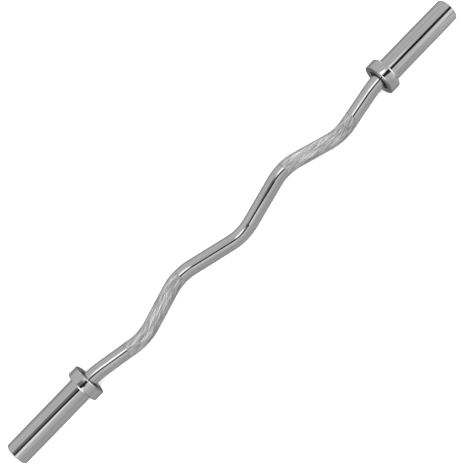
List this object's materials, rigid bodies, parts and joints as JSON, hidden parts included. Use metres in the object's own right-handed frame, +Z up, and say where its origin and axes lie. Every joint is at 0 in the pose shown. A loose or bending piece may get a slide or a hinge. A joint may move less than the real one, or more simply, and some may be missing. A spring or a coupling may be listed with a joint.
{
  "type": "ez curl bar",
  "caption": "Chrome cambered curl bar with knurled angled grips and free-turning plate sleeves behind round collars.",
  "frame": {"origin": "mid-length of the bar on the axis of its two sleeves", "axes": "+X along the sleeves' axis, towards the end at the upper right of the picture; +Z up, with the bar lying on its collars and on its two outer grip peaks, which point to -Y and down"},
  "size_m": [1.2, 0.072, 0.072],
  "materials": {
    "chrome": "polished chrome plate",
    "knurled_chrome": "polished chrome plate, knurled grips",
    "bronze": "sintered bronze",
    "spring_steel": "phosphated spring steel",
    "washer_steel": "ground steel",
    "seal_rubber": "black rubber",
    "cap_steel": "plated pressed steel"
  },
  "bodies": {
    "shaft": {"curl_shaft": "knurled_chrome", "left_inner_thrust_washer": "washer_steel", "left_outer_thrust_washer": "washer_steel", "left_shaft_circlip": "spring_steel", "right_inner_thrust_washer": "washer_steel", "right_outer_thrust_washer": "washer_steel", "right_shaft_circlip": "spring_steel"},
    "left_sleeve": {"left_sleeve_tube": "chrome", "left_collar": "chrome", "left_inner_bush": "bronze", "left_outer_bush": "bronze", "left_dust_seal": "seal_rubber", "left_end_cap": "cap_steel", "left_cap_ring": "spring_steel"},
    "right_sleeve": {"right_sleeve_tube": "chrome", "right_collar": "chrome", "right_inner_bush": "bronze", "right_outer_bush": "bronze", "right_dust_seal": "seal_rubber", "right_end_cap": "cap_steel", "right_cap_ring": "spring_steel"}
  },
  "joints": [
    {"name": "left_sleeve_spin", "type": "hinge", "parent": "shaft", "child": "left_sleeve", "pos_m": [-0.5, 0, 0], "axis": [1, 0, 0], "continuous": true},
    {"name": "right_sleeve_spin", "type": "hinge", "parent": "shaft", "child": "right_sleeve", "pos_m": [0.5, 0, 0], "axis": [1, 0, 0], "continuous": true}
  ]
}
